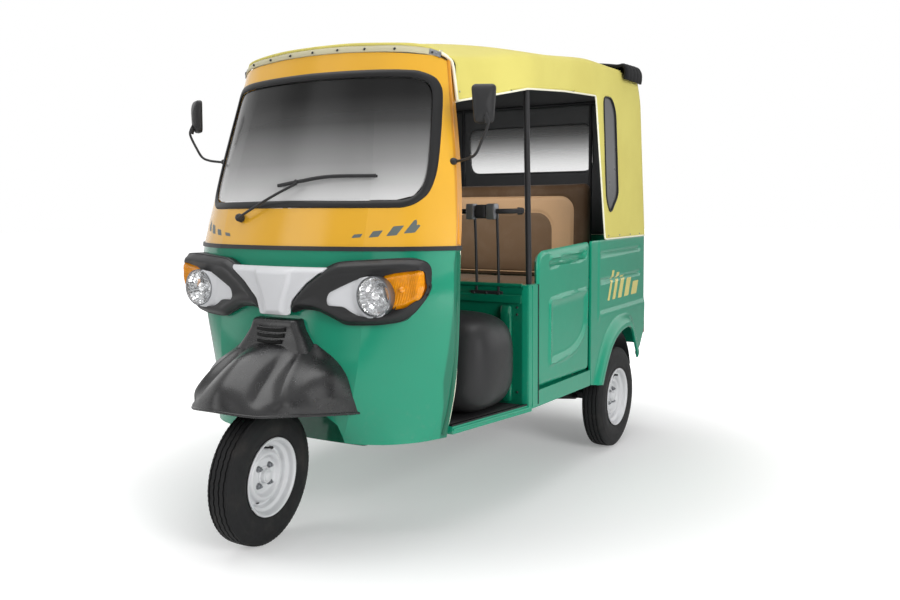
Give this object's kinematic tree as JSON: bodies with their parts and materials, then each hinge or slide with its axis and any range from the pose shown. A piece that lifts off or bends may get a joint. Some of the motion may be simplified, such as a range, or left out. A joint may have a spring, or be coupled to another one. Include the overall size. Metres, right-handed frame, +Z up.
{
  "type": "auto rickshaw",
  "caption": "Passenger three-wheeler with a steered front wheel, tin body, half doors, cloth hood and a rear bench seat.",
  "frame": {"origin": "centre of the bounding box's base, on the ground", "axes": "+Z up, -Y to the vehicle's front, +X to the vehicle's left"},
  "size_m": [1.5356, 2.6679, 1.9834],
  "materials": {
    "green_paint": "gloss green enamel",
    "yellow_paint": "gloss yellow enamel",
    "black_paint": "satin black enamel",
    "grey_cast": "cast, dull",
    "silver_paint": "silver enamel",
    "canopy_cloth": "coated cloth, pale yellow",
    "black_cloth": "black coated cloth",
    "seat_cloth": "dark brown vinyl",
    "tan_cloth": "tan vinyl",
    "tyre_rubber": "black tread rubber",
    "seal_rubber": "black seal",
    "black_plastic": "grained black plastic",
    "silver_plastic": "silver plastic",
    "clear_glass": "clear laminated glass",
    "lamp_glass": "clear lamp lens",
    "amber_lens": "amber lens",
    "red_lens": "red and amber lens"
  },
  "bodies": {
    "root": {"front_cowl": "green_paint", "belt_strip": "black_plastic", "windscreen_frame": "yellow_paint", "windscreen_seal": "seal_rubber", "windscreen": "clear_glass", "lamp_mask": "black_plastic", "indicators": "amber_lens", "headlamps": "lamp_glass", "grille_panel": "silver_plastic", "front_mudguard": "black_plastic", "floor_pan": "green_paint", "underframe": "black_paint", "wheel_well": "green_paint", "side_frame_left": "green_paint", "side_frame_right": "green_paint", "quarter_panel_left": "green_paint", "quarter_panel_right": "green_paint", "wheel_housings": "black_paint", "rear_panel": "green_paint", "partition": "green_paint", "canopy": "canopy_cloth", "quarter_windows": "clear_glass", "rear_window": "clear_glass", "hood_frame": "black_paint", "driver_seat_base": "black_plastic", "driver_cushion": "seat_cloth", "driver_backrest": "seat_cloth", "seat_box": "green_paint", "passenger_cushion": "seat_cloth", "passenger_backrest": "tan_cloth", "engine_block": "grey_cast", "rear_arms": "black_paint", "drive_shafts": "black_paint", "rear_shocks": "black_paint", "silencer": "black_paint", "tail_lamps": "red_lens", "mirrors": "black_plastic", "wiper": "black_paint", "curtain_roll": "black_cloth"},
    "steering": {"front_fork": "black_paint", "front_brake_drum": "grey_cast", "front_shock": "black_paint", "handlebar": "black_plastic"},
    "front_wheel": {"front_tyre": "tyre_rubber", "front_rim": "silver_paint"},
    "rear_wheel_left": {"rear_tyre_left": "tyre_rubber", "rear_rim_left": "silver_paint"},
    "rear_wheel_right": {"rear_tyre_right": "tyre_rubber", "rear_rim_right": "silver_paint"},
    "door_left_body": {"door_left": "green_paint"},
    "door_right_body": {"door_right": "green_paint"}
  },
  "joints": [
    {"name": "steering_turn", "type": "hinge", "parent": "root", "child": "steering", "pos_m": [0, -1.045, 0.259], "axis": [0, 0.4067, 0.9135], "range_deg": [-44.3, 31.7]},
    {"name": "front_wheel_spin", "type": "hinge", "parent": "steering", "child": "front_wheel", "pos_m": [0.00301, -1.07485, 0.25893], "axis": [0.994, 0.1002, -0.0446], "continuous": true},
    {"name": "rear_wheel_spin_left", "type": "hinge", "parent": "root", "child": "rear_wheel_left", "pos_m": [0.6525, 0.845, 0.259], "axis": [1, 0, 0], "continuous": true},
    {"name": "rear_wheel_spin_right", "type": "hinge", "parent": "root", "child": "rear_wheel_right", "pos_m": [-0.6525, 0.845, 0.259], "axis": [1, 0, 0], "continuous": true},
    {"name": "door_left_swing", "type": "hinge", "parent": "root", "child": "door_left_body", "pos_m": [0.694, -0.098, 0.77], "axis": [0, 0, 1], "range_deg": [-70, 0]},
    {"name": "door_right_swing", "type": "hinge", "parent": "root", "child": "door_right_body", "pos_m": [-0.694, -0.098, 0.77], "axis": [0, 0, 1], "range_deg": [0, 70]}
  ]
}
